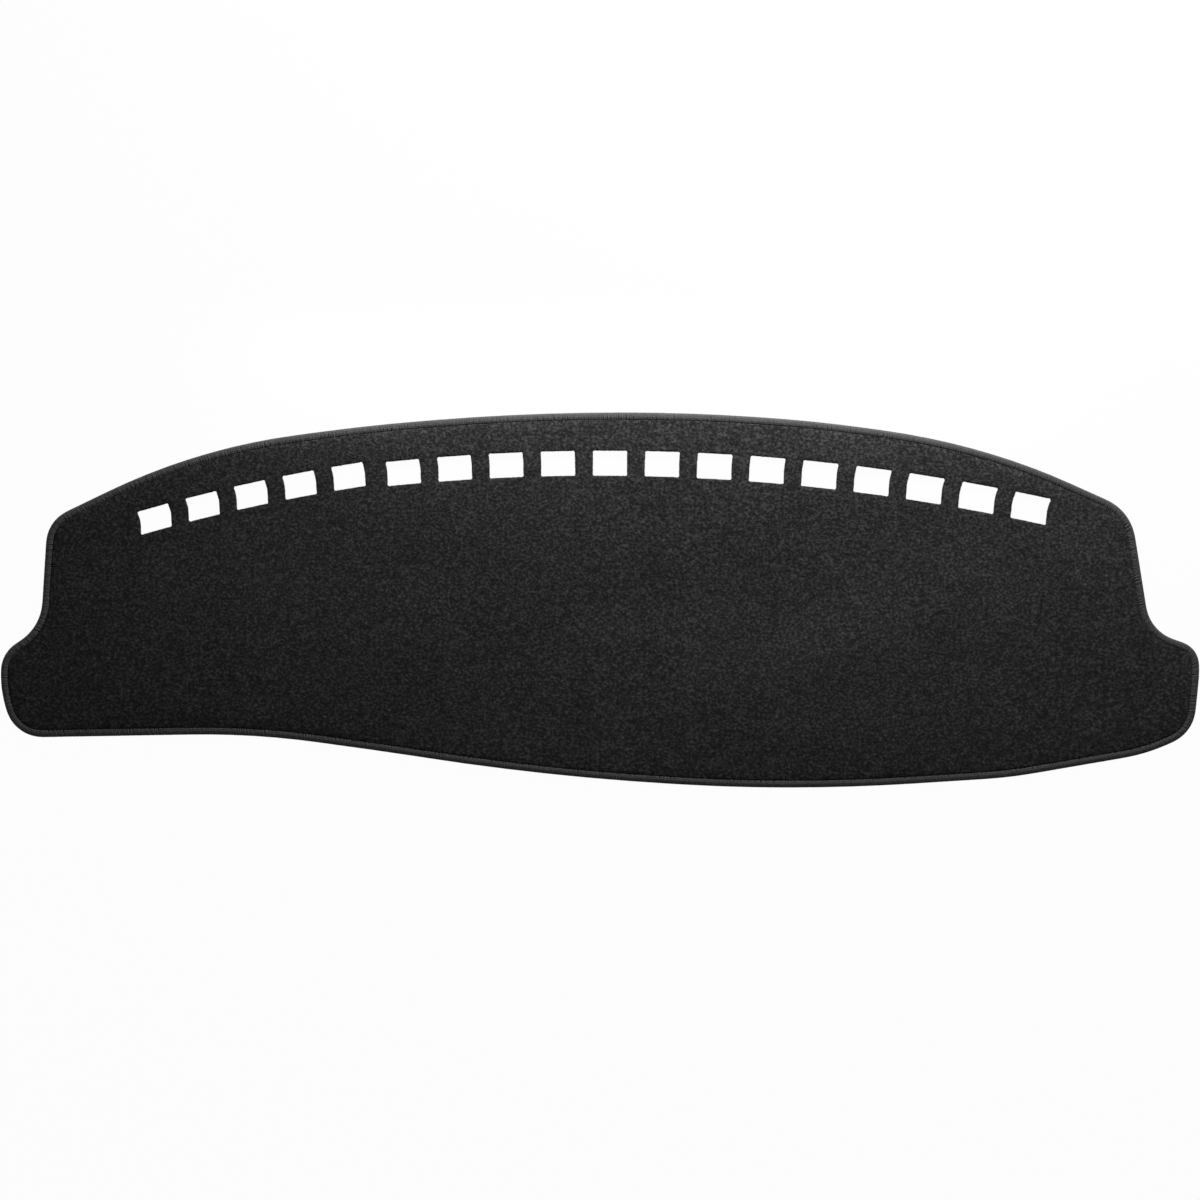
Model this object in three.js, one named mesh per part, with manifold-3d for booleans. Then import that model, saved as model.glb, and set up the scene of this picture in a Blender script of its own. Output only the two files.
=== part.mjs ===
// Dashboard cover mat for a left-hand-drive car.
// One sheet of short-pile carpet is cut to the dashboard's outline and pierced by a row of vent windows,
// and its raw edge is overlocked all round with one run of yarn.
// Millimetres. +X runs along the dashboard to the passenger's side, +Y to the windscreen, +Z up.
// The mat lies flat with its pile up. Its underside is on z = 0, and the origin is the middle of its footprint.

import * as THREE from 'three';
import { mergeVertices } from 'three/addons/utils/BufferGeometryUtils.js';
import Module from 'manifold-3d';

const wasm = await Module();
wasm.setup();

// Overall size
const matLength = 1440;
const matDepth = 450;

// Carpet: a woven backing with cut pile on top, squeezed together where the yarn goes round it
const backingThickness = 1.4;
const pileHeight = 3.6;
const squeezedPile = 0.6;
const pileRound = 1.2;

// Overlocked edge: how far the stitches reach in, the coat of yarn, and how much its top slopes to the pile
const bandWidth = 8.4;
const yarnCoat = 1.0;
const bandSlope = 0.9;
const seatGap = 0.3;

// The run of yarn starts and ends on the driver's side, this far below the end of the shoulder's curve
const joinBelowShoulder = 13;
const joinGap = 1.2;

// Vent windows. The main group straddles the crown, and the driver's group carries on past a wider bar.
const mainVentWidth = 42;
const mainVentWidthStep = 0.25;
const driverVentWidth = 39;
const ventHeight = 31;
const ventHeightStep = 0.25;
const ventCornerRadius = 2.5;
const ventBar = 20.7;
const bridgeBar = 26.4;
const crownVentOffset = 12;
const ventRowBelowCrown = 60.6;
const ventRowRadius = 2500;
const ventsDriverSideOfCrown = 4;
const driverRowRadius = 2100;
const driverRowKink = 2.2;
const driverRowLift = 2.4;
const ventEndMargin = 100;
const ventEdgeClearance = 20;

// The driver's windows lean and bow towards the crown, and both fade along the row
const ventLean = 3;
const ventBow = 1.9;
const ventBowFade = 0.14;
const ventBowRadius = 30;
const ventBowRise = 3;

// Facets leave a curve by at most its sag. A lesser turn, in radians, or a lesser gap is no corner or facet.
const outlineSag = 0.12;
const ventSag = 0.25;
const mostSagOfRadius = 0.5;
const leastTurn = 0.01;
const leastGap = 0.05;
const sameSpot = 0.0001;

// Facets across the section: over the pile's shoulder, the sloping top and the round nose
const shoulderFacets = 2;
const slopeFacets = 2;
const yarnNoseFacets = 6;
const rimNoseFacets = 4;

// How far a window's cutter runs past the carpet
const cutterOvershoot = 1;

// What follows from the sizes above
const driverEnd = -matLength / 2;
const passengerEnd = matLength / 2;
const screenEdge = matDepth / 2;
const frontEdge = -matDepth / 2;
const carpetThickness = backingThickness + pileHeight;
const rimThickness = backingThickness + squeezedPile;
const rimDepth = yarnCoat + seatGap;
const bandThickness = rimThickness + 2 * rimDepth;
const noseRadius = bandThickness / 2;
const pileInset = bandWidth + seatGap;

// The outline's corners, clockwise from the driver's shoulder. Each is measured from the nearest end of the mat
// (inset) or from its middle line (beside), and down from the windscreen edge (drop) or up from the front edge
// (rise). The radius rounds it off.
const outlineCorners = [
  { place: 'driver shoulder', end: driverEnd, inset: 56, drop: 130, radius: 43 },
  { place: 'driver side of the arch', end: driverEnd, inset: 236, drop: 43, radius: 750 },
  { place: 'arch towards the crown', beside: -273, drop: 15, radius: 2280 },
  { place: 'crown, driver side', beside: -85, drop: 0, radius: 2800 },
  { place: 'crown, passenger side', beside: 103, drop: 0, radius: 2330 },
  { place: 'arch past the crown', beside: 258, drop: 10, radius: 1750 },
  { place: 'passenger side of the arch', end: passengerEnd, inset: 312, drop: 31, radius: 840 },
  { place: 'passenger flank', end: passengerEnd, inset: 200, drop: 65, radius: 760 },
  { place: 'passenger shoulder', end: passengerEnd, inset: 82, drop: 118, radius: 58 },
  { place: 'passenger notch', end: passengerEnd, inset: 59, rise: 187, radius: 49 },
  { place: 'passenger ear, upper', end: passengerEnd, inset: 0, rise: 167, radius: 28 },
  { place: 'passenger ear, lower', end: passengerEnd, inset: 0, rise: 134, radius: 150 },
  { place: 'passenger foot', end: passengerEnd, inset: 7, rise: 65, radius: 46 },
  { place: 'passenger foot, inner', end: passengerEnd, inset: 65, rise: 40, radius: 210 },
  { place: 'front edge, passenger side', end: passengerEnd, inset: 228, rise: 12, radius: 550 },
  { place: 'lowest stretch, outer', beside: 302, rise: 0, radius: 2350 },
  { place: 'lowest stretch, inner', beside: 163, rise: 0, radius: 2090 },
  { place: 'rise towards the driver', beside: -63, rise: 13, radius: 3100 },
  { place: 'rise over the instruments', beside: -243, rise: 41, radius: 3010 },
  { place: 'instrument recess', end: driverEnd, inset: 304, rise: 65, radius: 1010 },
  { place: 'driver foot', end: driverEnd, inset: 17, rise: 60, radius: 44 },
  { place: 'driver ear, lower', end: driverEnd, inset: 0, rise: 114, radius: 140 },
  { place: 'driver ear, upper', end: driverEnd, inset: 0, rise: 162, radius: 39 },
  { place: 'driver notch', end: driverEnd, inset: 48, rise: 190, radius: 59 },
];

function cornerPoint(corner) {
  const inward = -Math.sign(corner.end);
  const x = corner.beside ?? corner.end + inward * corner.inset;
  const y = corner.drop === undefined ? frontEdge + corner.rise : screenEdge - corner.drop;
  return { at: new THREE.Vector2(x, y), radius: corner.radius };
}

// A station is a point on a clockwise loop with the loop's outward normal there
function station(point, direction) {
  return { point, normal: new THREE.Vector2(-direction.y, direction.x) };
}

// The run into a corner of a polygon, and how far the outline turns there
function bendAt(corners, i) {
  const before = corners[(i + corners.length - 1) % corners.length].at;
  const after = corners[(i + 1) % corners.length].at;
  const arrive = corners[i].at.clone().sub(before).normalize();
  const leave = after.clone().sub(corners[i].at).normalize();
  return { arrive, turn: Math.atan2(arrive.cross(leave), arrive.dot(leave)) };
}

// Rounds off each corner of a clockwise polygon. Straight runs get no stations but their ends, corners that
// hardly turn are left out, and two fillets that need more than the run between them share it in proportion.
function roundedLoop(allCorners, sag) {
  const corners = allCorners.filter((corner, i) => Math.abs(bendAt(allCorners, i).turn) > leastTurn);
  const count = corners.length;
  const bends = corners.map((corner, i) => {
    const { arrive, turn } = bendAt(corners, i);
    return { arrive, turn, reach: corner.radius * Math.tan(Math.abs(turn) / 2) };
  });
  const share = (i) => {
    const next = (i + 1) % count;
    return Math.min(1, corners[i].at.distanceTo(corners[next].at) / (bends[i].reach + bends[next].reach));
  };
  const stations = [];
  bends.forEach(({ arrive, turn, reach }, i) => {
    const fitted = reach * Math.min(share(i), share((i + count - 1) % count));
    const radius = fitted / Math.tan(Math.abs(turn) / 2);
    const start = corners[i].at.clone().addScaledVector(arrive, -fitted);
    const toCentre = new THREE.Vector2(-arrive.y, arrive.x).multiplyScalar(Math.sign(turn) * radius);
    const centre = start.clone().add(toCentre);
    const stepAngle = 2 * Math.acos(1 - Math.min(sag / radius, mostSagOfRadius));
    const steps = Math.max(1, Math.ceil(Math.abs(turn) / stepAngle));
    for (let k = 0; k <= steps; k += 1) {
      const angle = (turn * k) / steps;
      const direction = arrive.clone().rotateAround(new THREE.Vector2(), angle);
      stations.push(station(start.clone().rotateAround(centre, angle), direction));
    }
  });
  const gapAfter = ({ point }, i) => point.distanceTo(stations[(i + 1) % stations.length].point);
  return stations.filter((here, i) => gapAfter(here, i) > leastGap);
}

// Triangles of a flat polygon, each anticlockwise
function flatFace(points) {
  return THREE.ShapeUtils.triangulateShape(points, []).map(([a, b, c]) => {
    const area = THREE.ShapeUtils.area([points[a], points[b], points[c]]);
    return area > 0 ? [a, b, c] : [a, c, b];
  });
}

// Carries a section of [inset, height] points round the stations. The section runs from the top, out over the
// edge and down. A loop is closed by flat faces over its first and last rings, and an open run of a closed
// section by a flat face at each end.
function sweep(stations, section, openRun) {
  const width = section.length;
  const positions = [];
  for (const { point, normal } of stations) {
    for (const [inset, height] of section) {
      positions.push(point.x - normal.x * inset, point.y - normal.y * inset, height);
    }
  }
  const index = [];
  const last = stations.length - 1;
  const rows = openRun ? last : stations.length;
  const columns = openRun ? width : width - 1;
  for (let i = 0; i < rows; i += 1) {
    for (let j = 0; j < columns; j += 1) {
      const here = i * width;
      const next = ((i + 1) % stations.length) * width;
      const below = (j + 1) % width;
      index.push(here + j, next + j, next + below);
      index.push(here + j, next + below, here + below);
    }
  }
  if (openRun) {
    const profile = section.map(([inset, height]) => new THREE.Vector2(-inset, height));
    for (const [a, b, c] of flatFace(profile)) {
      index.push(a, c, b);
      index.push(last * width + a, last * width + b, last * width + c);
    }
  } else {
    const ring = (column) => stations.map((unused, i) => {
      const start = (i * width + column) * 3;
      return new THREE.Vector2(positions[start], positions[start + 1]);
    });
    for (const [a, b, c] of flatFace(ring(0))) {
      index.push(a * width, b * width, c * width);
    }
    for (const [a, b, c] of flatFace(ring(width - 1))) {
      index.push((a + 1) * width - 1, (c + 1) * width - 1, (b + 1) * width - 1);
    }
  }
  const geometry = new THREE.BufferGeometry();
  geometry.setAttribute('position', new THREE.Float32BufferAttribute(positions, 3));
  geometry.setIndex(index);
  return geometry;
}

// The overlocked edge in section, at a given depth below the yarn's surface: the sloping top, the full-round
// nose and the flat underside. Yarn and carpet rim share it, so they always nest.
function edgeSection(depth, innerInset, noseFacets) {
  const section = [];
  const slopeWidth = bandWidth - noseRadius;
  for (let k = 0; k < slopeFacets; k += 1) {
    const inset = THREE.MathUtils.lerp(innerInset, noseRadius, k / slopeFacets);
    const along = (inset - noseRadius) / slopeWidth;
    section.push([inset, bandThickness - depth - bandSlope * along * along]);
  }
  for (let k = 0; k <= noseFacets; k += 1) {
    const angle = (Math.PI * k) / noseFacets;
    const radius = noseRadius - depth;
    section.push([noseRadius - radius * Math.sin(angle), noseRadius + radius * Math.cos(angle)]);
  }
  section.push([innerInset, depth]);
  return section;
}

// The carpet's section: rounded shoulder of the pile, squeezed rim, flat underside
function carpetSection() {
  const rim = edgeSection(rimDepth, pileInset, rimNoseFacets);
  const wall = carpetThickness - rim[0][1];
  const round = Math.min(pileRound, wall / 2);
  const section = [];
  for (let k = 0; k <= shoulderFacets; k += 1) {
    const angle = (Math.PI / 2) * (k / shoulderFacets);
    section.push([
      pileInset + round * (1 - Math.sin(angle)),
      carpetThickness - round * (1 - Math.cos(angle)),
    ]);
  }
  return [...section, ...rim, [pileInset, 0]];
}

// The yarn's section: its outer surface, then back along the surface that grips the rim
function yarnSection() {
  const outside = edgeSection(0, bandWidth, yarnNoseFacets);
  const inside = edgeSection(yarnCoat, bandWidth, rimNoseFacets);
  return [...outside, ...inside.reverse()];
}

// Where each vent window sits: the row is walked outwards from the crown, one width and one bar at a time,
// for as long as a window stays clear of the mat's ends and edge.
function ventPlaces(outline, firstX, lastX) {
  const rowY = screenEdge - ventRowBelowCrown;
  const onMainArc = (run) => {
    const angle = run / ventRowRadius;
    const x = ventRowRadius * Math.sin(angle);
    const y = rowY - ventRowRadius * (1 - Math.cos(angle));
    return { centre: new THREE.Vector2(x, y), tilt: -angle };
  };
  const mainWidth = (number) => mainVentWidth + mainVentWidthStep * number;
  const places = [];
  const fits = (place) => {
    const inside = place.centre.x > firstX && place.centre.x < lastX;
    const gap = (spot) => Math.min(...outline.map(({ point }) => point.distanceTo(spot)));
    return inside && ventCorners(place).every((corner) => gap(corner.at) > ventEdgeClearance);
  };
  const add = (number, width, spot) => {
    const place = { number, width, height: ventHeight + ventHeightStep * number, ...spot };
    if (fits(place)) {
      places.push(place);
      return true;
    }
    return false;
  };

  let run = crownVentOffset;
  for (let number = 0; add(number, mainWidth(number), onMainArc(run)); number += 1) {
    run += (mainWidth(number) + mainWidth(number + 1)) / 2 + ventBar;
  }

  run = crownVentOffset;
  for (let number = -1; number >= -ventsDriverSideOfCrown; number -= 1) {
    run -= (mainWidth(number) + mainWidth(number + 1)) / 2 + ventBar;
    add(number, mainWidth(number), onMainArc(run));
  }

  const firstDriver = -ventsDriverSideOfCrown - 1;
  run -= (mainWidth(firstDriver + 1) + driverVentWidth) / 2 + bridgeBar;
  const start = onMainArc(run);
  const kinked = start.tilt + THREE.MathUtils.degToRad(driverRowKink);
  start.centre.y += driverRowLift;
  const onDriverArc = (back) => {
    const angle = back / driverRowRadius;
    const chord = 2 * driverRowRadius * Math.sin(angle / 2);
    const bearing = kinked + angle / 2;
    const step = new THREE.Vector2(-Math.cos(bearing), -Math.sin(bearing)).multiplyScalar(chord);
    return { centre: start.centre.clone().add(step), tilt: kinked + angle };
  };
  let back = 0;
  for (let number = firstDriver; add(number, driverVentWidth, onDriverArc(back)); number -= 1) {
    back += driverVentWidth + ventBar;
  }
  return places;
}

// A window's corners, clockwise. Each side has one bend in it, which bows it.
function ventCorners({ number, centre, tilt, width, height }) {
  const bow = -ventBowFade * number;
  const driverGroupNumber = Math.max(0, -ventsDriverSideOfCrown - number);
  const lean = (ventLean * driverGroupNumber) / (ventsDriverSideOfCrown + 1);
  const bulge = bow * ventBow;
  const top = height / 2;
  const half = width / 2;
  const place = (x, y, radius) => ({
    at: new THREE.Vector2(x + (lean * y) / height, y).rotateAround(new THREE.Vector2(), tilt).add(centre),
    radius,
  });
  return [
    place(-half, top, ventCornerRadius),
    place(half, top, ventCornerRadius),
    place(half + bulge, ventBowRise, ventBowRadius),
    place(half, -top, ventCornerRadius),
    place(-half, -top, ventCornerRadius),
    place(-half + bulge, ventBowRise, ventBowRadius),
  ];
}

// The cutter for one window: straight through the carpet, flaring where the pile rounds over at the top
function ventCutter(place) {
  const flare = Math.min(pileRound, pileHeight) / 2;
  const section = [
    [-(flare + cutterOvershoot), carpetThickness + cutterOvershoot],
    [0, carpetThickness - flare],
    [0, -cutterOvershoot],
  ];
  return sweep(roundedLoop(ventCorners(place), ventSag), section, false);
}

function toSolid(geometry) {
  const merged = mergeVertices(geometry, sameSpot);
  return new wasm.Manifold(new wasm.Mesh({
    numProp: 3,
    vertProperties: new Float32Array(merged.attributes.position.array),
    triVerts: new Uint32Array(merged.index.array),
  }));
}

function toGeometry(solid) {
  const mesh = solid.getMesh();
  const geometry = new THREE.BufferGeometry();
  geometry.setAttribute('position', new THREE.Float32BufferAttribute(mesh.vertProperties, 3));
  geometry.setIndex(new THREE.Uint32BufferAttribute(mesh.triVerts, 1));
  geometry.computeVertexNormals();
  return geometry;
}

// The carpet, all in one piece, with its windows cut out
function matSheet(outline, places) {
  let sheet = toSolid(sweep(outline, carpetSection(), false));
  for (const place of places) {
    sheet = sheet.subtract(toSolid(ventCutter(place)));
  }
  return toGeometry(sheet);
}

// The overlocked yarn: one run from join to join
function edgeOverlock(outline) {
  const first = outline[0].point;
  const last = outline[outline.length - 1].point;
  const upSide = first.clone().sub(last).normalize();
  const joinEnd = (offset) => station(first.clone().addScaledVector(upSide, offset), upSide);
  const run = [
    joinEnd(joinGap / 2 - joinBelowShoulder),
    ...outline,
    joinEnd(-joinGap / 2 - joinBelowShoulder),
  ];
  const geometry = sweep(run, yarnSection(), true);
  geometry.computeVertexNormals();
  return geometry;
}

function addPiece(group, name, geometry, material) {
  const mesh = new THREE.Mesh(geometry, material);
  mesh.name = name;
  group.add(mesh);
}

const corners = outlineCorners.map(cornerPoint);
const outline = roundedLoop(corners, outlineSag);
const shoulderX = (place) => corners[outlineCorners.findIndex((corner) => corner.place === place)].at.x;
const places = ventPlaces(
  outline,
  shoulderX('driver shoulder') + ventEndMargin,
  shoulderX('passenger shoulder') - ventEndMargin,
);

const pile = new THREE.MeshStandardMaterial({ color: 0x262626, roughness: 0.97, metalness: 0, flatShading: true });
const yarn = new THREE.MeshStandardMaterial({ color: 0x3c3c3c, roughness: 0.85, metalness: 0, flatShading: true });

const group = new THREE.Group();
addPiece(group, 'mat_sheet', matSheet(outline, places), pile);
addPiece(group, 'edge_overlock', edgeOverlock(outline), yarn);

export default group;
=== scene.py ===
# %% [markdown]
# # A dashboard cover mat
# The mat is one sheet of short cut-pile carpet with a row of vent windows in it, and its raw edge is bound
# all round with overlocked yarn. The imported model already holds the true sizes, so this lesson only dresses
# it: the pile, the turns of yarn, the loose fibres and the light. Everything is in metres, in the model's
# own frame.

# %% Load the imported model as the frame
import math

import bmesh
import bpy
import numpy as np
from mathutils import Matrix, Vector, kdtree, noise
from mathutils.geometry import delaunay_2d_cdt


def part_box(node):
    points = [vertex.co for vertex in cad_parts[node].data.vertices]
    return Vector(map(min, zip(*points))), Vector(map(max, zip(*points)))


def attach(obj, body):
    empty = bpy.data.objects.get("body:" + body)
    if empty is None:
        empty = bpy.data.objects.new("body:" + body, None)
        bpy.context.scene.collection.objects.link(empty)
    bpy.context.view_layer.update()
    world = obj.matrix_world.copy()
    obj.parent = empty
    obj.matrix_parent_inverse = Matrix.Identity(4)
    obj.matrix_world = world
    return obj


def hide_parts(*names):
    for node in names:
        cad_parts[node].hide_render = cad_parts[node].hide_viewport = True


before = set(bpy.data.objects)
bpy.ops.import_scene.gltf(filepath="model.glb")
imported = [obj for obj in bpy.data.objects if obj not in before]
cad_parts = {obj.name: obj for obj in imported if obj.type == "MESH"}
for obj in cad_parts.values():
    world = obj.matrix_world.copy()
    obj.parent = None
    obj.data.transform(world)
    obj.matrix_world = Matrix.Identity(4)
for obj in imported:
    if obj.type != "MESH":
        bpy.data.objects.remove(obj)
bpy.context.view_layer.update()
MM = 0.001

# %% [markdown]
# ## Reading the outline and the windows
# The pile has to end exactly where the carpet was cut. The outline could be typed in again, but then two
# descriptions of one edge could drift apart. Cutting the model's sheet with a level plane gives the true
# curves: the long outer loop and one small loop for each vent window.

# %% Slice the sheet and walk its loops
SLICE_HEIGHT = 2.2 * MM
WELD = 0.002 * MM


def slice_loops(node, height):
    work = bmesh.new()
    work.from_mesh(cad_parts[node].data)
    bmesh.ops.remove_doubles(work, verts=work.verts, dist=WELD)
    everything = work.verts[:] + work.edges[:] + work.faces[:]
    cut = bmesh.ops.bisect_plane(work, geom=everything, plane_co=(0, 0, height), plane_no=(0, 0, 1))
    neighbours = {}
    for edge in cut["geom_cut"]:
        if isinstance(edge, bmesh.types.BMEdge):
            a, b = edge.verts
            neighbours.setdefault(a, []).append(b)
            neighbours.setdefault(b, []).append(a)
    loops = []
    while neighbours:
        start = next(iter(neighbours))
        loop, here = [], start
        while here is not None:
            loop.append(here.co.xy[:])
            onward = [v for v in neighbours.pop(here) if v in neighbours]
            here = onward[0] if onward else None
        loops.append(np.array(loop))
    work.free()
    return loops


def signed_area(loop):
    x, y = loop[:, 0], loop[:, 1]
    return 0.5 * float(np.sum(x * np.roll(y, -1) - np.roll(x, -1) * y))


loops = sorted(slice_loops("mat_sheet", SLICE_HEIGHT), key=lambda loop: -abs(signed_area(loop)))
largest = [round(abs(signed_area(loop)), 5) for loop in loops[:3]]
print("loops:", len(loops), "largest areas in square metres:", largest)

# %% [markdown]
# The loops are turned so that the carpet is always on the left of the way round: the outer loop runs
# anticlockwise and the windows clockwise. The right-hand side is then always "off the carpet", and one
# sweep function serves both. Even spacing keeps the yarn's turns regular, and a little smoothing takes the
# facets out.

# %% Even spacing, smoothing and outward normals
OUTLINE_STEP = 2.4 * MM
WINDOW_STEP = 1.5 * MM
CORNER_REACH = 0.45 * MM
SHARP_TURN = math.radians(30)
SMOOTHING = 4


def evenly(loop, step):
    closed = np.vstack([loop, loop[:1]])
    reach = np.concatenate([[0], np.cumsum(np.linalg.norm(np.diff(closed, axis=0), axis=1))])
    count = int(round(reach[-1] / step))
    stops = np.arange(count) * reach[-1] / count
    return np.stack([np.interp(stops, reach, closed[:, axis]) for axis in (0, 1)], axis=1)


def smoothed(loop, passes):
    for _ in range(passes):
        loop = (np.roll(loop, 1, axis=0) + 2 * loop + np.roll(loop, -1, axis=0)) / 4
    return loop


def off_carpet(loop):
    along = np.roll(loop, -1, axis=0) - np.roll(loop, 1, axis=0)
    along /= np.linalg.norm(along, axis=1)[:, None]
    return np.stack([along[:, 1], -along[:, 0]], axis=1)


def turned(loop, anticlockwise):
    return loop if (signed_area(loop) > 0) == anticlockwise else loop[::-1]


def crisp(loop, reach):
    """Pushes the few points of each tight corner into the carpet, as a knife cuts sharper than a fillet."""
    along = np.roll(loop, -1, axis=0) - loop
    bearing = np.unwrap(np.arctan2(along[:, 1], along[:, 0]))
    turn = np.abs(bearing - np.roll(bearing, 1) + math.pi) % (2 * math.pi) - math.pi
    weight = np.clip(np.abs(turn) / SHARP_TURN, 0, 1)[:, None]
    return loop - off_carpet(loop) * reach * weight


RIM_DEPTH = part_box("edge_overlock")[1][0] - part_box("mat_sheet")[1][0]
inner = smoothed(evenly(turned(loops[0], True), OUTLINE_STEP), SMOOTHING)
outline = evenly(inner + off_carpet(inner) * RIM_DEPTH, OUTLINE_STEP)
windows = [crisp(evenly(turned(loop, False), WINDOW_STEP), CORNER_REACH) for loop in loops[1:]]
print("outline points:", len(outline), "windows:", len(windows), "rim depth mm:", round(RIM_DEPTH / MM, 3))

# %% [markdown]
# ## The pile carpet
# The real sheet is a woven backing with a short cut pile. It could be a flat plate with a bump texture, but
# then its edges would look like cardboard from the side. Here it is one closed skin: a fine triangulated
# top that carries the pile's own unevenness, a rounded shoulder where the pile meets air, the squeezed rim
# that the yarn grips, and a plain underside.

# %% Sizes of the pile
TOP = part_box("mat_sheet")[1][2]
PILE_STEP = 2.9 * MM
TUFT_RELIEF = 0.24 * MM
CLUMP_RELIEF = 0.30 * MM
WAVE_RELIEF = 0.45 * MM
SEAM_PRESS, SEAM_REACH = 0.80 * MM, 7.0 * MM
CUT_PRESS, CUT_REACH = 0.10 * MM, 2.5 * MM
LOOSE_ABOVE = 0.6 * TOP
SEAM_SHAKE, CUT_SHAKE = 0.12 * MM, 0.10 * MM
rng = np.random.default_rng(11)

# Insets from the true edge, and heights: underside, squeezed rim, nose, wall and shoulder
EDGE_SECTION = [
    (8.7, 0.0), (8.7, 1.3), (2.4, 1.3), (1.5, 2.1), (2.4, 2.9), (7.2, 2.2), (8.3, 1.6), (8.4, 2.6),
    (8.15, 3.3), (8.5, 3.85), (9.6, 4.15),
]
# Insets from the window's edge, and heights: backing, pile that spreads a little, and shoulder
WINDOW_SECTION = [(0.0, 0.0), (0.0, 1.3), (-0.45, 3.0), (-0.5, 4.0), (0.1, 4.6), (1.3, 4.85)]


def ring(loop, inset, height, shake):
    stir = rng.normal(0, shake, (len(loop), 2))
    flat = loop - off_carpet(loop) * (inset + stir[:, :1])
    return np.column_stack([flat, height + stir[:, 1]])


def swept(loop, section, shake):
    """One ring of points for each corner of a section. Only the pile is loose enough to be shaken."""
    corners = [(inset * MM, height * MM) for inset, height in section]
    return [ring(loop, inset, height, shake if height > LOOSE_ABOVE else 0.0) for inset, height in corners]


edge_rings = swept(outline, EDGE_SECTION, SEAM_SHAKE)
window_rings = [swept(loop, WINDOW_SECTION, CUT_SHAKE) for loop in windows]
print("rings:", len(edge_rings), "round the edge and", len(window_rings[0]), "round each window")

# %% [markdown]
# The top is filled with points on a shaken honeycomb and joined up by a constrained triangulation, which
# keeps the edge loops as they are. A honeycomb has no rows for the light to catch, so the pile doesn't look
# ruled.

# %% Fill the top
PILE_SHAKE, PILE_CLEAR = 0.22, 0.62 * PILE_STEP
WHOLE_HULL, MERGE_BELOW = 0, 1e-9


def inside(points, loop):
    x, y = points[:, 0], points[:, 1]
    odd = np.zeros(len(points), bool)
    for (ax, ay), (bx, by) in zip(loop, np.roll(loop, -1, axis=0)):
        if ay != by:
            crosses = (ay > y) != (by > y)
            odd ^= crosses & (x < (bx - ax) * (y - ay) / (by - ay) + ax)
    return odd


def on_carpet(points, border, holes):
    keep = inside(points, border)
    for hole in holes:
        near = np.flatnonzero(np.all((points > hole.min(0)) & (points < hole.max(0)), axis=1) & keep)
        keep[near[inside(points[near], hole)]] = False
    return keep


def honeycomb(step, low, high, shake):
    columns = np.arange(low[0], high[0], step)
    rows = np.arange(low[1], high[1], step * math.sqrt(3) / 2)
    x, y = np.meshgrid(columns, rows)
    x = x + (np.arange(len(rows)) % 2)[:, None] * step / 2
    grid = np.stack([x.ravel(), y.ravel()], axis=1)
    return grid + rng.uniform(-shake, shake, grid.shape) * step


def distance_to(points, marks):
    tree = kdtree.KDTree(len(marks))
    for i, (x, y) in enumerate(marks):
        tree.insert((x, y, 0), i)
    tree.balance()
    return np.array([tree.find((x, y, 0))[2] for x, y in points])


def filled(border, holes, step, shake, clear):
    """Points and triangles that fill border round holes. Every border has the carpet on its left, so the
    triangles on its right, and all that are reached from them without crossing a border, are waste."""
    fixed = np.vstack([border, *holes])
    grid = honeycomb(step, border.min(0), border.max(0), shake)
    grid = grid[on_carpet(grid, border, holes)]
    points = np.vstack([fixed, grid[distance_to(grid, fixed) > clear]])
    edges, start = [], 0
    for loop in [border, *holes]:
        count = len(loop)
        edges += [(start + k, start + (k + 1) % count) for k in range(count)]
        start += count
    joined = delaunay_2d_cdt([Vector(spot) for spot in points], edges, [], WHOLE_HULL, MERGE_BELOW)
    back = np.array([ids[0] for ids in joined[3]])
    faces = back[np.array(joined[2])].tolist()
    side_of = {(f[k], f[(k + 1) % 3]): n for n, f in enumerate(faces) for k in range(3)}
    crossing = set(edges) | {(q, p) for p, q in edges}
    waste = {side_of[q, p] for p, q in edges if (q, p) in side_of}
    reached = list(waste)
    while reached:
        f = faces[reached.pop()]
        for p, q in ((f[0], f[1]), (f[1], f[2]), (f[2], f[0])):
            beyond = None if (p, q) in crossing else side_of.get((q, p))
            if beyond is not None and beyond not in waste:
                waste.add(beyond)
                reached.append(beyond)
    return points, np.array([f for n, f in enumerate(faces) if n not in waste])


top_border = edge_rings[-1][:, :2]
top_holes = [rings[-1][:, :2] for rings in window_rings]
top_points, top_faces = filled(top_border, top_holes, PILE_STEP, PILE_SHAKE, PILE_CLEAR)
print("top:", len(top_points), "points", len(top_faces), "triangles")

# %% [markdown]
# Cut pile is never level: single tufts stand up or lie down, neighbours clump, and the whole sheet keeps a
# slow wave from being rolled up. Three sizes of unevenness are added to the height, and all of them are
# under half a millimetre, so the mat stays as thick as it was modelled.

# %% Give the top its unevenness
TUFT_SPREAD = 0.42
CLUMPS_PER_METRE, WAVES_PER_METRE = (95.0, 95.0), (5.5, 8.5)
CLUMP_LAYER, WAVE_LAYER = 1.7, 7.3
NAP_DROP = 0.05 * MM


def cloudy(points, rate, layer):
    return np.array([noise.noise(Vector((x * rate[0], y * rate[1], layer))) for x, y in points])


def relief(points):
    tufts = rng.normal(0, TUFT_SPREAD, len(points)) * TUFT_RELIEF
    clumps = cloudy(points, CLUMPS_PER_METRE, CLUMP_LAYER) * CLUMP_RELIEF
    waves = cloudy(points, WAVES_PER_METRE, WAVE_LAYER) * WAVE_RELIEF
    return tufts + clumps + waves


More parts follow.
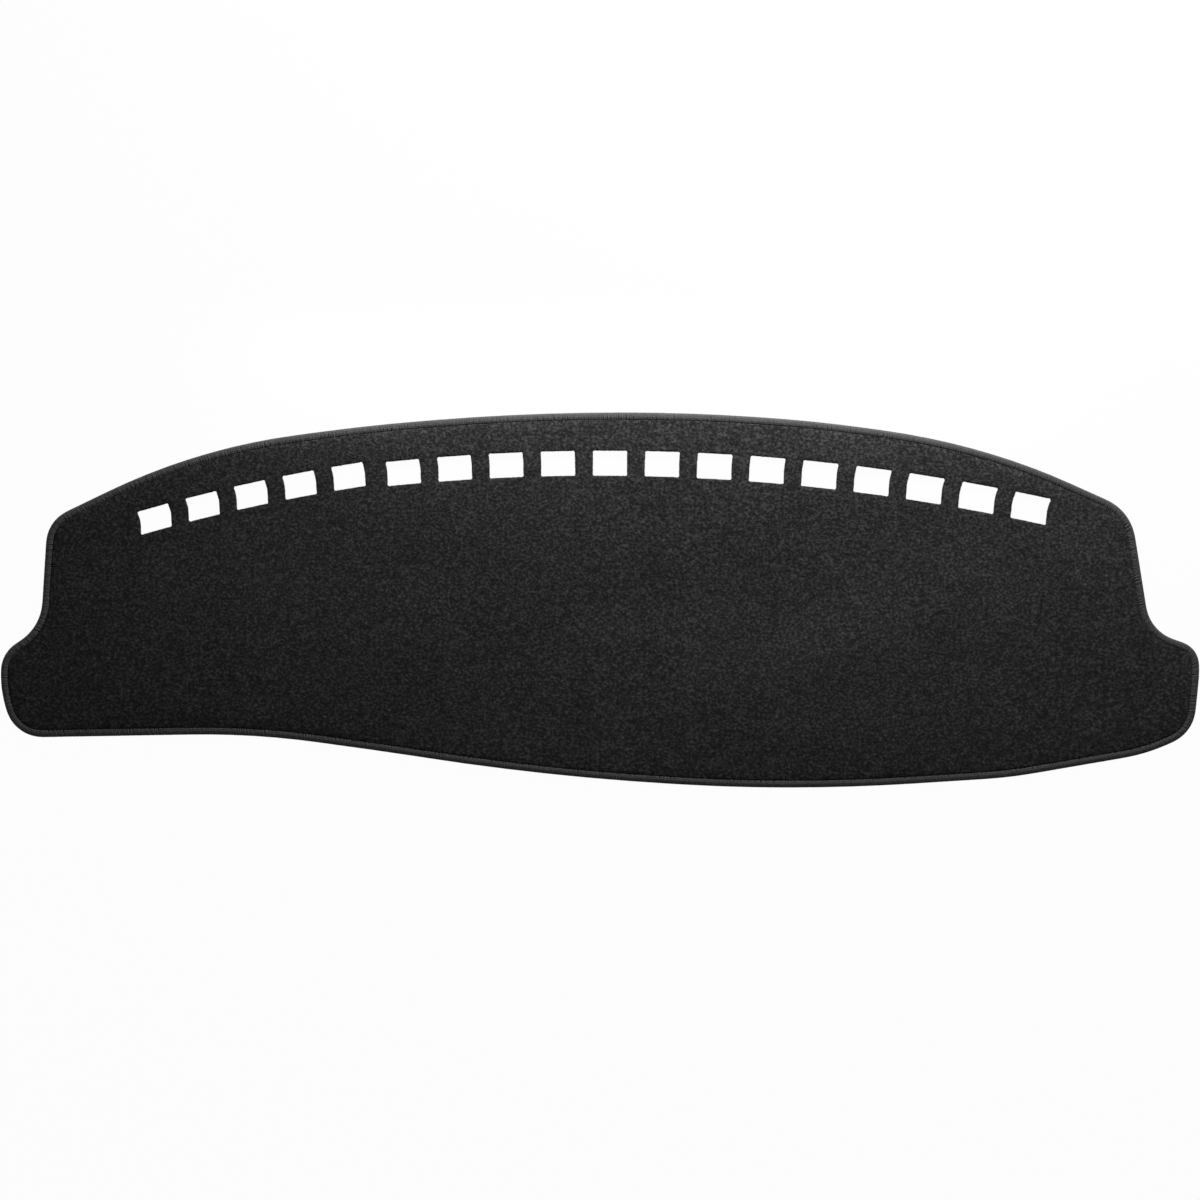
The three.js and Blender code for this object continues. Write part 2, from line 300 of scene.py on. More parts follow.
border_count = len(top_border) + sum(len(hole) for hole in top_holes)
from_seam = distance_to(top_points, top_border)
from_cut = distance_to(top_points, np.vstack(top_holes))
top_heights = TOP - NAP_DROP + relief(top_points)
top_heights -= SEAM_PRESS * np.exp(-from_seam / SEAM_REACH)
top_heights -= CUT_PRESS * np.exp(-from_cut / CUT_REACH)
ring_heights = np.concatenate([edge_rings[-1][:, 2]] + [rings[-1][:, 2] for rings in window_rings])
top_heights[:border_count] = ring_heights
print("pile height from", round(top_heights.min() / MM, 2), "to", round(top_heights.max() / MM, 2), "mm")

# %% [markdown]
# Now the rings are joined from the top down, one strip of faces between each pair, so that the top, the
# walls and the underside share their points and no seam can open.

# %% Put the skin together
UNDER_STEP, UNDER_SHAKE, UNDER_CLEAR = 16 * MM, 0.2, 6 * MM


def mesh_object(name, points, faces):
    mesh = bpy.data.meshes.new(name)
    mesh.from_pydata([tuple(p) for p in points], [], [tuple(int(i) for i in face) for face in faces])
    mesh.validate()
    made = bpy.data.objects.new(name, mesh)
    bpy.context.scene.collection.objects.link(made)
    return made


class Skin:
    """Points and faces gathered ring by ring, so that neighbours share their points."""

    def __init__(self):
        self.points, self.faces = [], []

    def add(self, points):
        start = len(self.points)
        self.points.extend(map(tuple, points))
        return np.arange(start, start + len(points))

    def strip(self, low, high):
        for a, b, c, d in zip(low, np.roll(low, -1), np.roll(high, -1), high):
            self.faces.append((a, b, c, d))


skin = Skin()
top_index = skin.add(np.column_stack([top_points, top_heights]))
skin.faces.extend(top_index[top_faces])
bottom_loops, start = [], 0
for rings in [edge_rings, *window_rings]:
    count = len(rings[-1])
    upper = top_index[start:start + count]
    start += count
    for points in reversed(rings[:-1]):
        lower = skin.add(points)
        skin.strip(lower, upper)
        upper = lower
    bottom_loops.append(upper)
bottom_border = edge_rings[0][:, :2]
bottom_holes = [rings[0][:, :2] for rings in window_rings]
low_points, low_faces = filled(bottom_border, bottom_holes, UNDER_STEP, UNDER_SHAKE, UNDER_CLEAR)
shared = np.concatenate(bottom_loops)
extra = skin.add(np.column_stack([low_points[len(shared):], np.zeros(len(low_points) - len(shared))]))
low_index = np.concatenate([shared, extra])
skin.faces.extend(low_index[low_faces][:, ::-1])
carpet = mesh_object("pile_carpet", skin.points, skin.faces)
print("skin:", len(skin.points), "points", len(skin.faces), "faces")

# %% [markdown]
# A last pass over the skin makes triangles of its strips, turns every face outwards and counts the edges
# that don't have exactly two faces. The count has to be nought. The volume is printed too.

# %% Face it outwards and measure it


def tidy_shell(piece):
    work = bmesh.new()
    work.from_mesh(piece.data)
    bmesh.ops.triangulate(work, faces=work.faces[:])
    bmesh.ops.recalc_face_normals(work, faces=work.faces[:])
    open_edges = sum(1 for edge in work.edges if len(edge.link_faces) != 2)
    volume = work.calc_volume(signed=True)
    work.to_mesh(piece.data)
    work.free()
    piece.data.shade_smooth()
    return open_edges, volume


open_edges, volume = tidy_shell(carpet)
print("carpet:", len(carpet.data.polygons), "triangles, open edges:", open_edges)
print("volume in cubic centimetres:", round(volume * 1e6, 1))
sheet_area = abs(signed_area(outline)) - sum(abs(signed_area(loop)) for loop in windows)
print("flat area of the sheet:", round(sheet_area, 4), "square metres")

# %% [markdown]
# ## Shader maths as plain maths
# A finish is easier to read as a sum than as a web of boxes. `Wire` wraps an output socket, so `a * b + 1`
# adds the Math nodes by itself, and `Graph.node` adds any other node: its settings first, then its sockets.

# %% A small class for sockets, and one method for nodes


class Wire:
    def __init__(self, graph, socket):
        self.graph, self.socket = graph, socket

    def _maths(self, operation, a, b):
        return self.graph.node("ShaderNodeMath", {"operation": operation}, {0: a, 1: b})

    def __add__(self, other):
        return self._maths("ADD", self, other)

    def __radd__(self, other):
        return self._maths("ADD", other, self)

    def __sub__(self, other):
        return self._maths("SUBTRACT", self, other)

    def __rsub__(self, other):
        return self._maths("SUBTRACT", other, self)

    def __mul__(self, other):
        return self._maths("MULTIPLY", self, other)

    def __rmul__(self, other):
        return self._maths("MULTIPLY", other, self)

    def above(self, other):
        return self._maths("GREATER_THAN", self, other)

    def clamped(self):
        return self.graph.node("ShaderNodeClamp", {}, {"Value": self})


class Graph:
    def __init__(self, tree):
        self.tree = tree
        tree.nodes.clear()

    def node(self, kind, settings=None, sockets=None, output=0):
        made = self.tree.nodes.new(kind)
        for name, value in (settings or {}).items():
            setattr(made, name, value)
        for name, value in (sockets or {}).items():
            if isinstance(value, Wire):
                self.tree.links.new(value.socket, made.inputs[name])
            else:
                made.inputs[name].default_value = value
        return Wire(self, made.outputs[output]) if len(made.outputs) else None


def finish_named(name):
    material = bpy.data.materials.new(name)
    material.use_nodes = True
    return material, Graph(material.node_tree)


def grey(value):
    return (value, value, value, 1.0)


def blend(graph, mask, low, high):
    return graph.node("ShaderNodeMix", {"data_type": "RGBA"}, {0: mask, 6: low, 7: high}, output=2)


def spots(graph, place, size, detail=2.0, roughness=0.5):
    """Cloudy noise whose features are about the given size, in metres, across."""
    sockets = {"Vector": place, "Scale": 1.0 / size, "Detail": detail, "Roughness": roughness}
    return graph.node("ShaderNodeTexNoise", {}, sockets)


def moved(graph, place, way, spot=(0, 0, 0), degrees=0.0, scale=(1, 1, 1)):
    """Coordinates moved, turned in the plane of the floor and scaled."""
    sockets = {"Vector": place, "Location": spot, "Rotation": (0, 0, math.radians(degrees)), "Scale": scale}
    return graph.node("ShaderNodeMapping", {"vector_type": way}, sockets)


def bumped(graph, height, strength, distance):
    sockets = {"Strength": strength, "Distance": distance, "Height": height}
    return graph.node("ShaderNodeBump", {}, sockets)


def surfaced(graph, sockets):
    shader = graph.node("ShaderNodeBsdfPrincipled", {}, sockets)
    graph.node("ShaderNodeOutputMaterial", {}, {"Surface": shader})


print("shader helpers ready")

# %% [markdown]
# ## The finish of the pile
# The yarn of the pile is nearly black, and what the eye sees is how its ends catch the light: clumps a few
# millimetres across, single ends of about a millimetre, a few stray pale fibres, and slow patches where the
# nap was brushed another way. One long stroke of a hand is left across the passenger's side. The colour is
# also darkened a little towards both ends of the mat: that is painted shade, standing in for the light
# falling off towards the ends. Each has its own size of noise on Object coordinates, so that nothing
# slides.

# %% Pile material
PILE_DARK, PILE_LIGHT = grey(0.0030), grey(0.046)
PATCH_SIZE, MOTTLE_SIZE = 85 * MM, 13 * MM
CLUMP_SIZE, END_SIZE = 2.95 * MM, 1.25 * MM
TUFT_SIZE, STRAY_SIZE = 1.5 * MM, 2.0 * MM
STROKE_SPOT, STROKE_HALF, STROKE_DEGREES = (245 * MM, -45 * MM, 0.0), (270 * MM, 36 * MM, 1.0), 21.0
# Painted shade: the pile's colour is lightest here and darkens towards both ends, in place of the light's
# falloff
PAINTED_SHADE_MIDDLE = 130 * MM

pile_finish, g = finish_named("cut_pile")
where = g.node("ShaderNodeTexCoord", output="Object")
brushed = spots(g, moved(g, where, "POINT", degrees=-27.0, scale=(2.2, 6.5, 1.0)), 1.0, 2.0, 0.45)
patches = spots(g, where, PATCH_SIZE, 3.0, 0.5)
mottle = spots(g, where, MOTTLE_SIZE, 2.0, 0.5)
in_stroke = moved(g, where, "TEXTURE", STROKE_SPOT, STROKE_DEGREES, STROKE_HALF)
stroke_reach = g.node("ShaderNodeVectorMath", {"operation": "LENGTH"}, {0: in_stroke}, output="Value")
stroke = (1.0 - stroke_reach * 0.75 + (patches - 0.5) * 1.2).clamped()
squat = moved(g, where, "POINT", scale=(0.95, 1.06, 1.0))
clumps = spots(g, squat, CLUMP_SIZE, 0.0, 0.5)
ends = spots(g, squat, END_SIZE, 1.0, 0.5)
tuft_sockets = {"Vector": where, "Scale": 1 / TUFT_SIZE, "Randomness": 1.0}
tufts = g.node("ShaderNodeTexVoronoi", {"feature": "F1"}, tuft_sockets)
stray = spots(g, where, STRAY_SIZE, 0.0, 0.4)
specks = ((stray - 0.72) * 8.0).clamped()
shade = 0.262 + (brushed - 0.5) * 0.26 + (patches - 0.5) * 0.16 + (mottle - 0.5) * 0.13 + stroke * 0.075
# Painted shade: darker towards both ends of the mat, standing in for the light falling off there
from_middle = g.node("ShaderNodeSeparateXYZ", {}, {0: where}) - PAINTED_SHADE_MIDDLE
shade = shade * (1.0 - from_middle * from_middle * 0.20)
grain = (clumps - 0.5) * 2.5 + (ends - 0.5) * 1.1
grain = grain * (1.0 + grain * 0.55)
tone = (shade + grain * (0.20 + shade) + specks * 0.40).clamped()
height = clumps * 0.55 + ends * 0.45 + (1.0 - tufts) * 0.35
surfaced(g, {
    "Base Color": blend(g, tone, PILE_DARK, PILE_LIGHT), "Roughness": 0.96, "Specular IOR Level": 0.07,
    "Sheen Weight": 0.05, "Sheen Roughness": 0.55, "Normal": bumped(g, height, 0.75, 0.9 * MM),
})
print("pile nodes:", len(pile_finish.node_tree.nodes))

# %% [markdown]
# The underside is the back of the woven backing: a coarse, flat, slightly waxy cloth. It is hardly seen,
# but a mat gets lifted, so it has its own finish: two crossing waves make the weave.

# %% Backing material
UNDERSIDE_REACH = 0.2 * MM
WARP_SCALE, WEFT_SCALE = 160.0, 130.0
SOIL_SIZE = 50 * MM

backing_finish, g = finish_named("woven_backing")
where = g.node("ShaderNodeTexCoord", output="Object")


def threads(graph, direction, scale):
    settings = {"wave_type": "BANDS", "bands_direction": direction}
    sockets = {"Vector": where, "Scale": scale, "Distortion": 0.6, "Detail": 1.0}
    return graph.node("ShaderNodeTexWave", settings, sockets)


weave = threads(g, "X", WARP_SCALE) * threads(g, "Y", WEFT_SCALE)
soil = spots(g, where, SOIL_SIZE, 3.0)
mask = (0.25 + weave * 0.5 + (soil - 0.5) * 0.5).clamped()
surfaced(g, {
    "Base Color": blend(g, mask, grey(0.012), grey(0.035)), "Roughness": 0.8,
    "Normal": bumped(g, weave, 0.6, 0.5 * MM),
})

carpet.data.materials.append(pile_finish)
carpet.data.materials.append(backing_finish)
for face in carpet.data.polygons:
    if face.center.z < UNDERSIDE_REACH and face.normal.z < -0.9:
        face.material_index = 1
print("underside faces:", sum(1 for face in carpet.data.polygons if face.material_index == 1))

# %% [markdown]
# ## The overlocked yarn
# An overlocker lays turn after turn of thick yarn round the raw edge, so close that they make one ribbed
# bead. A tube with a striped bump would lose its ribs against the background, so every turn is real here.
# One turn is modelled once, and Geometry Nodes walks the outline and sets a turn down at each step, a
# little uneven.

# %% One turn of yarn
TURN_PITCH = 1.65 * MM
TURN_SIDES = 5
# Inset from the true edge and height of the turn's middle line, from its tuck behind the pile round to below
TURN_PATH = [
    (8.1, 2.1), (7.6, 3.15), (6.3, 3.8), (4.2, 4.03), (2.1, 3.75), (0.3, 2.95), (-0.2, 2.0), (1.0, 0.75),
    (8.2, 0.6),
]
TURN_HALF_WIDTH = 1.08 * MM
TURN_HALF_HEIGHT = 0.56 * MM
TURN_SLANT = 1.2 * MM
END_SLIMNESS = 0.8


def turn_spine():
    """The turn's middle line, slanted along the edge, and how far along the yarn each point is."""
    path = np.array(TURN_PATH) * MM
    spine = np.column_stack([np.zeros(len(path)), -path[:, 0], path[:, 1]])
    reach = np.concatenate([[0], np.cumsum(np.linalg.norm(np.diff(spine, axis=0), axis=1))])
    spine[:, 0] = TURN_SLANT * (0.5 - reach / reach[-1])
    return spine, reach


def one_turn():
    spine, reach = turn_spine()
    along = np.gradient(spine, axis=0)
    along /= np.linalg.norm(along, axis=1)[:, None]
    side = np.array([1.0, 0.0, 0.0])
    points = []
    for k, (centre, way) in enumerate(zip(spine, along)):
        up = np.cross(way, side)
        up /= np.linalg.norm(up)
        slim = END_SLIMNESS if k in (0, len(spine) - 1) else 1.0
        for s in range(TURN_SIDES):
            angle = 2 * math.pi * (s + 0.5) / TURN_SIDES
            across = side * math.cos(angle) * TURN_HALF_WIDTH * slim
            points.append(centre + across + up * math.sin(angle) * TURN_HALF_HEIGHT * slim)
    faces = []
    for k in range(len(spine) - 1):
        for s in range(TURN_SIDES):
            a, b = k * TURN_SIDES + s, k * TURN_SIDES + (s + 1) % TURN_SIDES
            faces.append((a, b, b + TURN_SIDES, a + TURN_SIDES))
    last = (len(spine) - 1) * TURN_SIDES
    faces.append(tuple(range(TURN_SIDES))[::-1])
    faces.append(tuple(range(last, last + TURN_SIDES)))
    turn = mesh_object("yarn_turn", points, faces)
    strand = turn.data.uv_layers.new(name="strand")
    for loop in turn.data.loops:
        row, spot = divmod(loop.vertex_index, TURN_SIDES)
        strand.data[loop.index].uv = (spot / TURN_SIDES, reach[row] / MM)
    tidy_shell(turn)
    return turn


turn = one_turn()
print("one turn:", len(turn.data.polygons), "triangles")

# %% [markdown]
# The yarn starts and ends at a join on the driver's side, where the photograph shows a fine dark line
# across the bead. The path is therefore opened there before the turns are laid. The last turns nearly meet,
# because the pale floor would show through a wider gap. The run is walked clockwise, so that the edge lies
# on the side of the turn's own y axis.

# %% The path of the yarn, open at its join
JOIN_SPOT = np.array([-664.0, 57.0]) * MM
JOIN_GAP = 0.1 * MM


def opened(loop, spot, gap):
    first = int(np.argmin(np.linalg.norm(loop - spot, axis=1)))
    run = np.roll(loop, -first, axis=0)
    run = np.vstack([run, run[:1]])
    back = gap / 2 + TURN_HALF_WIDTH
    start = run[0] + (run[1] - run[0]) * back / np.linalg.norm(run[1] - run[0])
    end = run[-1] + (run[-2] - run[-1]) * back / np.linalg.norm(run[-2] - run[-1])
    return np.vstack([start, run[1:-1], end])


def path_object(name, runs, closed):
    mesh = bpy.data.meshes.new(name)
    points, edges = [], []
    for run in runs:
        start = len(points)
        points += [tuple(spot) if len(spot) == 3 else (*spot, 0.0) for spot in run]
        edges += [(start + k, start + k + 1) for k in range(len(run) - 1)]
        if closed:
            edges.append((start + len(run) - 1, start))
    mesh.from_pydata(points, edges, [])
    made = bpy.data.objects.new(name, mesh)
    bpy.context.scene.collection.objects.link(made)
    return made


yarn_run = opened(outline, JOIN_SPOT, JOIN_GAP)
yarn_path = path_object("yarn_path", [yarn_run[::-1]], closed=False)
run_length = float(np.sum(np.linalg.norm(np.diff(yarn_run, axis=0), axis=1)))
turn_count = round(run_length / TURN_PITCH) + 1
print("yarn run:", round(run_length, 4), "m,", turn_count, "turns")

# %% [markdown]
# Geometry Nodes does all the repeating here, in three small trees with much in common: find the spots, give
# each copy a turn and a size of its own, set the copies down, make them real and give them their finish.
# The shared steps are functions, so that each tree reads as the few lines in which it differs.

# %% Steps that the trees share
PART, COUNT, NUMBER, FINISH = "NodeSocketObject", "NodeSocketInt", "NodeSocketFloat", "NodeSocketMaterial"


def tree_with(name, inputs):
    tree = bpy.data.node_groups.new(name, "GeometryNodeTree")
    tree.interface.new_socket("Geometry", in_out="INPUT", socket_type="NodeSocketGeometry")
    tree.interface.new_socket("Geometry", in_out="OUTPUT", socket_type="NodeSocketGeometry")
    for label, kind in inputs.items():
        tree.interface.new_socket(label, in_out="INPUT", socket_type=kind)
    graph = Graph(tree)
    entry = tree.nodes.new("NodeGroupInput")
    wires = {socket.name: Wire(graph, socket) for socket in entry.outputs if socket.name}
    return tree, graph, wires


def triple_between(graph, low, high, seed):
    """Three random numbers for each copy, between two given triples."""
    sockets = {0: low, 1: high, "Seed": seed}
    return graph.node("FunctionNodeRandomValue", {"data_type": "FLOAT_VECTOR"}, sockets)


def stretched(graph, triple, share):
    return graph.node("ShaderNodeVectorMath", {"operation": "SCALE"}, {0: triple, "Scale": share})


def stops_along(graph, path, mode, spacing):
    """Even stops on a path, and the turn that lays a part's x axis along it at each stop."""
    curve = graph.node("GeometryNodeMeshToCurve", {}, {"Mesh": path})
    stops = graph.node("GeometryNodeResampleCurve", {"mode": mode}, {"Curve": curve, **spacing})
    tangent = graph.node("GeometryNodeInputTangent")
    axes = {"axis": "X", "pivot_axis": "Z"}
    return stops, graph.node("FunctionNodeAlignRotationToVector", axes, {"Vector": tangent})


def tipped(graph, facing, angles):
    tilt = graph.node("FunctionNodeEulerToRotation", {}, {0: angles})
    return graph.node("FunctionNodeRotateRotation", {"rotation_space": "LOCAL"}, {0: facing, 1: tilt})


def set_down(graph, part, places, rotation, size, finish):
    """Puts a copy of the part on every place, makes the copies real and ends the tree with them."""
    original = {"transform_space": "ORIGINAL"}
    source = graph.node("GeometryNodeObjectInfo", original, {"Object": part}, output="Geometry")
    sockets = {"Points": places, "Instance": source, "Rotation": rotation, "Scale": size}
    copies = graph.node("GeometryNodeInstanceOnPoints", {}, sockets)
    real = graph.node("GeometryNodeRealizeInstances", {}, {"Geometry": copies})
    dressed = graph.node("GeometryNodeSetMaterial", {}, {"Geometry": real, "Material": finish})
    graph.node("NodeGroupOutput", {}, {"Geometry": dressed})


def grown(name, start, tree, values):
    """Runs a tree on an object and returns the evaluated result as a plain mesh object."""
    modifier = start.modifiers.new("grow", "NODES")
    modifier.node_group = tree
    names = {item.name: item.identifier for item in tree.interface.items_tree if item.in_out == "INPUT"}
    for label, value in values.items():
        modifier[names[label]] = value
    graph = bpy.context.evaluated_depsgraph_get()
    ready = start.evaluated_get(graph)
    mesh = bpy.data.meshes.new_from_object(ready, preserve_all_data_layers=True, depsgraph=graph)
    start.modifiers.remove(modifier)
    mesh.name = name
    made = bpy.data.objects.new(name, mesh)
    bpy.context.scene.collection.objects.link(made)
    return made


print("tree helpers ready")

# %% [markdown]
# The first tree lays turns of yarn. Each turn lies along the path, tipped by a few degrees at most and a
# few hundredths larger or smaller than its neighbours, which is what keeps a machine-made edge from looking
# printed.

# %% A tree that lays turns along a path
lay_tree, g, given = tree_with("lay_turns", {
    "Turn": PART, "Count": COUNT, "Unevenness": NUMBER, "Seed": COUNT, "Finish": FINISH,
})
stops, facing = stops_along(g, given["Geometry"], "COUNT", {"Count": given["Count"]})
tip = triple_between(g, (-0.03, -0.03, -0.10), (0.03, 0.03, 0.10), given["Seed"])
rotation = tipped(g, facing, stretched(g, tip, given["Unevenness"]))
size = triple_between(g, (0.96, 0.98, 0.965), (1.08, 1.02, 1.03), given["Seed"])
set_down(g, given["Turn"], stops, rotation, size, given["Finish"])
print("tree lay_turns has", len(lay_tree.nodes), "nodes")

# %% [markdown]
# ## The finish of the yarn
# Overlocking yarn is bulked nylon: two plies twisted together, a little smoother and greyer than the pile.
# The twist follows each turn, so it reads the strand map that was laid on the turn before it was repeated.

# %% Yarn material
YARN_DARK, YARN_LIGHT = grey(0.026), grey(0.060)
FLUFF_SIZE, NEAR_SIZE, FAR_SIZE = 0.55 * MM, 3.1 * MM, 60 * MM

yarn_finish, g = finish_named("overlock_yarn")
strand = g.node("ShaderNodeUVMap", {"uv_map": "strand"})
around = g.node("ShaderNodeSeparateXYZ", {}, {0: strand}, output="X")
length = g.node("ShaderNodeSeparateXYZ", {}, {0: strand}, output="Y")
where = g.node("ShaderNodeTexCoord", output="Object")
fluff = spots(g, where, FLUFF_SIZE, 2.0, 0.6)
near_shade = spots(g, where, NEAR_SIZE, 1.0, 0.5)
far_shade = spots(g, where, FAR_SIZE, 2.0, 0.5)
wound = length * 2.4 + around * (4 * math.pi) + fluff * 2.0
ply = g.node("ShaderNodeMath", {"operation": "SINE"}, {0: wound}) * 0.5 + 0.5
uneven = (near_shade - 0.5) * 0.9 + (far_shade - 0.5) * 0.4 + (fluff - 0.5) * 0.5
tone = (0.45 + (ply - 0.5) * 0.5 + uneven).clamped()
height = ply * 0.6 + fluff * 0.5
surfaced(g, {
    "Base Color": blend(g, tone, YARN_DARK, YARN_LIGHT), "Roughness": 0.82, "Specular IOR Level": 0.12,
    "Sheen Weight": 0.06, "Sheen Roughness": 0.5, "Normal": bumped(g, height, 0.55, 0.35 * MM),
})
print("yarn nodes:", len(yarn_finish.node_tree.nodes))

# %% [markdown]
# With turn, path, tree and finish ready, the edge is laid in one go. The result is kept as a plain mesh,
# and the single turn and the bare path have done their work.

# %% Lay the turns
overlock = grown("overlock_turns", yarn_path, lay_tree, {
    "Turn": turn, "Count": turn_count, "Unevenness": 1.0, "Seed": 5, "Finish": yarn_finish,
})
overlock.data.shade_smooth()
for spare in (turn, yarn_path):
    bpy.data.objects.remove(spare)
maps = [layer.name for layer in overlock.data.uv_layers]
print("overlock:", len(overlock.data.polygons), "faces, maps:", maps)

# %% [markdown]
# ## Loose fibres
# Cut pile sheds and splays. Single fibres stand out of the surface everywhere, and more of them show where
# the knife went through it, round the windows and along the seam. Bump can't break a silhouette, so these
# are real: one slim spike is modelled once, and two trees set it down, over the pile and along its cut
# edges.

# %% One fibre
FIBRE_LENGTH = 1.5 * MM
FIBRE_HALF_WIDTH = 0.11 * MM
FIBRE_ROOT = 0.5 * MM


def one_fibre():
    angles = (0, 2 * math.pi / 3, 4 * math.pi / 3)
    foot = [(math.cos(a) * FIBRE_HALF_WIDTH, math.sin(a) * FIBRE_HALF_WIDTH, -FIBRE_ROOT) for a in angles]
    faces = [(0, 2, 1), (0, 1, 3), (1, 2, 3), (2, 0, 3)]
    spike = mesh_object("pile_fibre", foot + [(0, 0, FIBRE_LENGTH)], faces)
    tidy_shell(spike)
    return spike


fibre = one_fibre()
print("one fibre:", len(fibre.data.polygons), "triangles")

# %% [markdown]
# Strewing works on the carpet's own faces. Only faces that look up get fibres, so the walls of the windows
# and the underside stay clean, and every fibre leans its own way.

# %% Strew fibres over the pile
UPWARD = 0.6

strew_tree, g, given = tree_with("strew_fibres", {
    "Fibre": PART, "Density": NUMBER, "Lean": NUMBER, "Seed": COUNT, "Finish": FINISH,
})
normal = g.node("GeometryNodeInputNormal")
rise = g.node("ShaderNodeVectorMath", {"operation": "DOT_PRODUCT"}, {0: normal, 1: (0, 0, 1)}, output="Value")
spread = g.node("GeometryNodeDistributePointsOnFaces", {"distribute_method": "RANDOM"}, {
    "Mesh": given["Geometry"], "Selection": rise.above(UPWARD), "Density": given["Density"],
    "Seed": given["Seed"],
})
lean = stretched(g, triple_between(g, (-1.0, -1.0, -3.14), (1.0, 1.0, 3.14), given["Seed"]), given["Lean"])
rotation = g.node("FunctionNodeEulerToRotation", {}, {0: lean})
size = triple_between(g, (0.8, 0.8, 0.35), (1.3, 1.3, 0.9), given["Seed"])
set_down(g, given["Fibre"], spread, rotation, size, given["Finish"])

strewn = grown("pile_fibres", carpet, strew_tree, {
    "Fibre": fibre, "Density": 52000.0, "Lean": 0.75, "Seed": 3, "Finish": pile_finish,
})
print("strewn fibres:", len(strewn.data.polygons) // len(fibre.data.polygons))

# %% [markdown]
# The knife frays the pile where it cuts it. The third tree walks two upper rings of each window and the two
# rings along the seam, and leans its fibres away from the carpet.

# %% Fray the cut edges
CUT_FIBRE_STEP = 0.55 * MM
FRAYED_RINGS = (3, 4)

fringe_tree, g, given = tree_with("fringe_edge", {
    "Fibre": PART, "Step": NUMBER, "Seed": COUNT, "Finish": FINISH,
})
stops, facing = stops_along(g, given["Geometry"], "LENGTH", {"Length": given["Step"]})
rotation = tipped(g, facing, triple_between(g, (0.1, -0.7, -0.3), (1.7, 0.7, 0.3), given["Seed"]))
size = triple_between(g, (0.8, 0.8, 0.25), (1.3, 1.3, 0.75), given["Seed"])
set_down(g, given["Fibre"], stops, rotation, size, given["Finish"])

frayed = [rings[k] for rings in window_rings for k in FRAYED_RINGS] + edge_rings[-2:]
cut_path = path_object("cut_path", frayed, closed=True)
fringe = grown("cut_edge_fibres", cut_path, fringe_tree, {
    "Fibre": fibre, "Step": CUT_FIBRE_STEP, "Seed": 9, "Finish": pile_finish,
})
print("edge fibres:", len(fringe.data.polygons) // len(fibre.data.polygons))
for spare in (fibre, cut_path):
    bpy.data.objects.remove(spare)

# %% [markdown]
# ## Camera, light and floor
# The photograph looks straight down on the mat. A long lens from far above keeps its outline true: the
# height follows from the lens and from how wide the frame is at the level of the pile.

# %% Camera
LENS = 100.0
FRAME_WIDTH = 1.4418
CLIP_END = 200.0

camera_data = bpy.data.cameras.new("overhead")
camera_data.lens = LENS
camera = bpy.data.objects.new("overhead", camera_data)
camera.location = (0.0, 0.0, TOP + FRAME_WIDTH * LENS / camera_data.sensor_width)
camera_data.clip_end = CLIP_END
bpy.context.scene.collection.objects.link(camera)
bpy.context.scene.camera = camera
print("camera height:", round(camera.location.z, 3), "m")

# %% [markdown]
# A wide soft light stands beyond the windscreen edge and grades the pile from light to dark. A narrow
# strip, lower and nearer, picks out the windscreen edge itself. The world fills the shadows at a low, plain
# level, and a ray that only looks, straight on or by way of a gloss or a clear piece, sees it as plain
# white.

# %% Light
FILL = 0.16


def soft_light(name, place, target, size, power):
    data = bpy.data.lights.new(name, "AREA")
    data.shape = "RECTANGLE"
    data.size, data.size_y = size
    data.energy = power
    lamp = bpy.data.objects.new(name, data)
    lamp.location = place
    lamp.rotation_mode = "QUATERNION"
    lamp.rotation_quaternion = (Vector(target) - Vector(place)).to_track_quat("-Z", "Y")
    lamp.visible_camera = False
    bpy.context.scene.collection.objects.link(lamp)


def only_looking(graph):
    """One for a ray that only looks, and nought for a ray that carries light."""
    straight = graph.node("ShaderNodeLightPath", output="Is Camera Ray")
    glossy = graph.node("ShaderNodeLightPath", output="Is Glossy Ray")
    passing = graph.node("ShaderNodeLightPath", output="Is Transmission Ray")
    return (straight + glossy + passing).clamped()


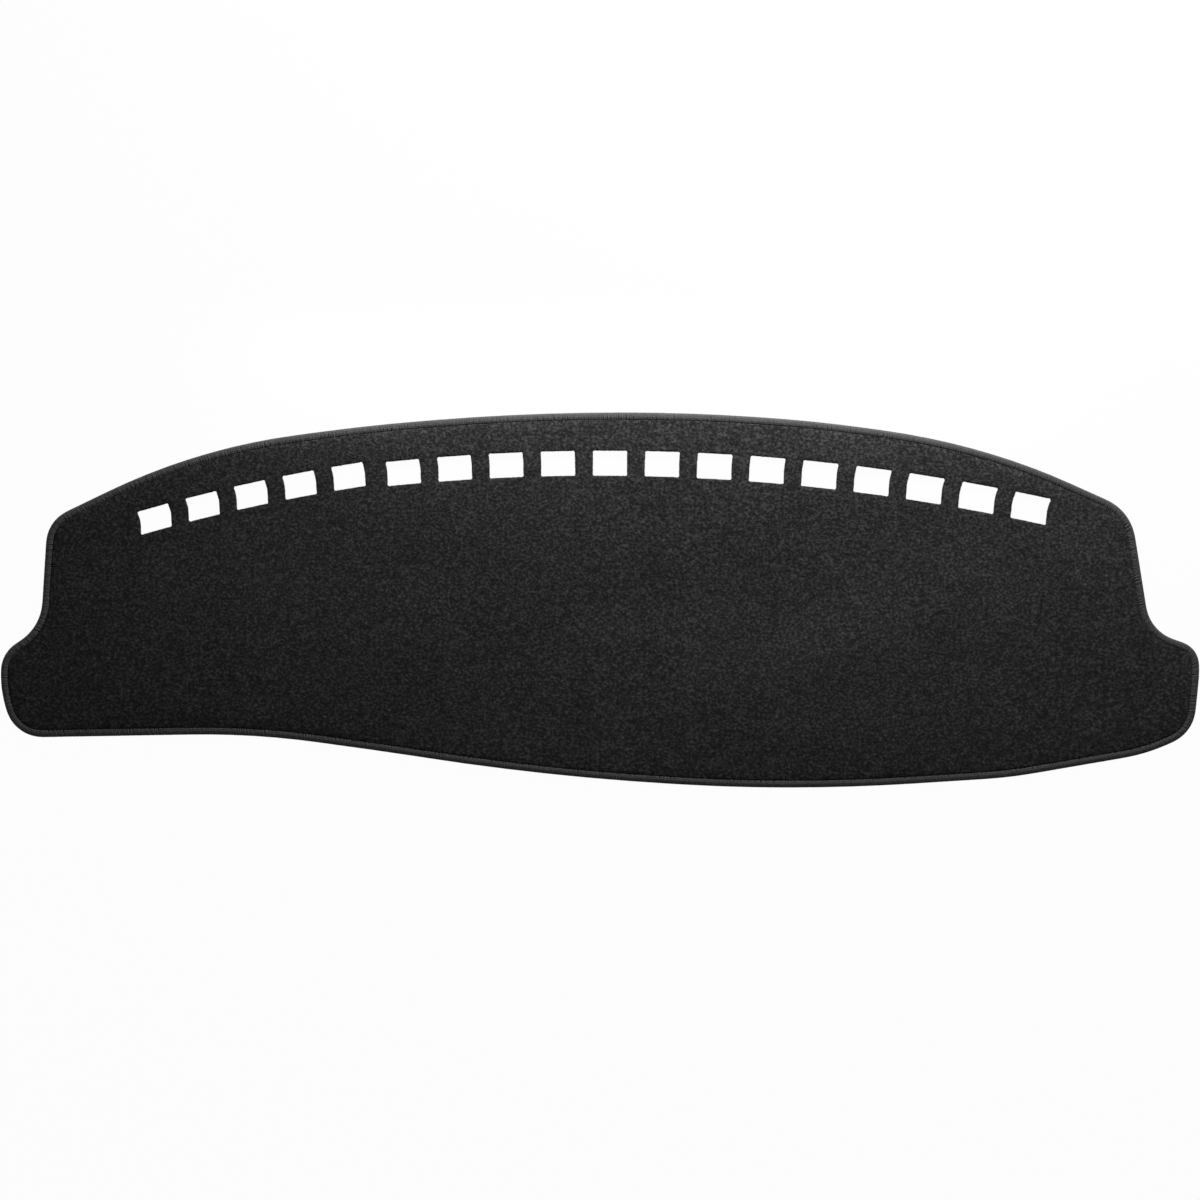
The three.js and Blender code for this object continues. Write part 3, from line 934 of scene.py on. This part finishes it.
soft_light("window_light", (0.36, 1.00, 0.40), (0.05, 0.0, 0.0), (1.5, 0.3), 30.0)
soft_light("windscreen_strip", (0.05, 0.325, 0.085), (0.05, 0.18, 0.0), (0.95, 0.03), 1.3)
world = bpy.data.worlds.new("studio")
world.use_nodes = True
sky = Graph(world.node_tree)
glow = sky.node("ShaderNodeBackground", {}, {"Color": grey(1.0), "Strength": FILL})
plain_white = sky.node("ShaderNodeBackground", {}, {"Color": grey(1.0), "Strength": 1.0})
seen = sky.node("ShaderNodeMixShader", {}, {0: only_looking(sky), 1: glow, 2: plain_white})
sky.node("ShaderNodeOutputWorld", {}, {"Surface": seen})
bpy.context.scene.world = world
bpy.context.scene.view_settings.view_transform = "Standard"
print("lights:", [lamp.name for lamp in bpy.data.lights], "world fill:", FILL)

# %% [markdown]
# The floor is a plain pale sheet. A ray that only looks sees mostly an even white, as on the photograph,
# and a small share of the true surface stays in the mix, so that the floor keeps the mat's soft shadow.

# %% Floor
FLOOR_HALF, FLOOR_DROP = 60.0, 0.3 * MM
WHITE_SHARE = 0.975

corners = [(x * FLOOR_HALF, y * FLOOR_HALF, -FLOOR_DROP) for x, y in ((-1, -1), (1, -1), (1, 1), (-1, 1))]
floor = mesh_object("floor", corners, [(0, 1, 2, 3)])
floor_finish, g = finish_named("pale_floor")
where = g.node("ShaderNodeTexCoord", output="Object")
mottle = spots(g, where, 0.4, 2.0)
true_surface = g.node("ShaderNodeBsdfDiffuse", {}, {"Color": blend(g, mottle, grey(0.42), grey(0.46))})
even_white = g.node("ShaderNodeEmission", {}, {"Color": grey(1.0), "Strength": 1.0})
share = only_looking(g) * WHITE_SHARE
surface = g.node("ShaderNodeMixShader", {}, {0: share, 1: true_surface, 2: even_white})
g.node("ShaderNodeOutputMaterial", {}, {"Surface": surface})
floor.data.materials.append(floor_finish)
print("floor:", 2 * FLOOR_HALF, "m square,", round(FLOOR_DROP / MM, 1), "mm below the mat")

# %% [markdown]
# ## Attaching the pieces
# The imported solids are hidden, and each piece rides on the mat's one body.

# %% Pieces on the mat's one body
extras = [overlock, strewn, fringe]
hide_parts("mat_sheet")
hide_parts("edge_overlock")
for piece in [carpet, *extras]:
    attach(piece, "root")

print("triangles:", sum(len(p.data.polygons) for p in [carpet, *extras]))
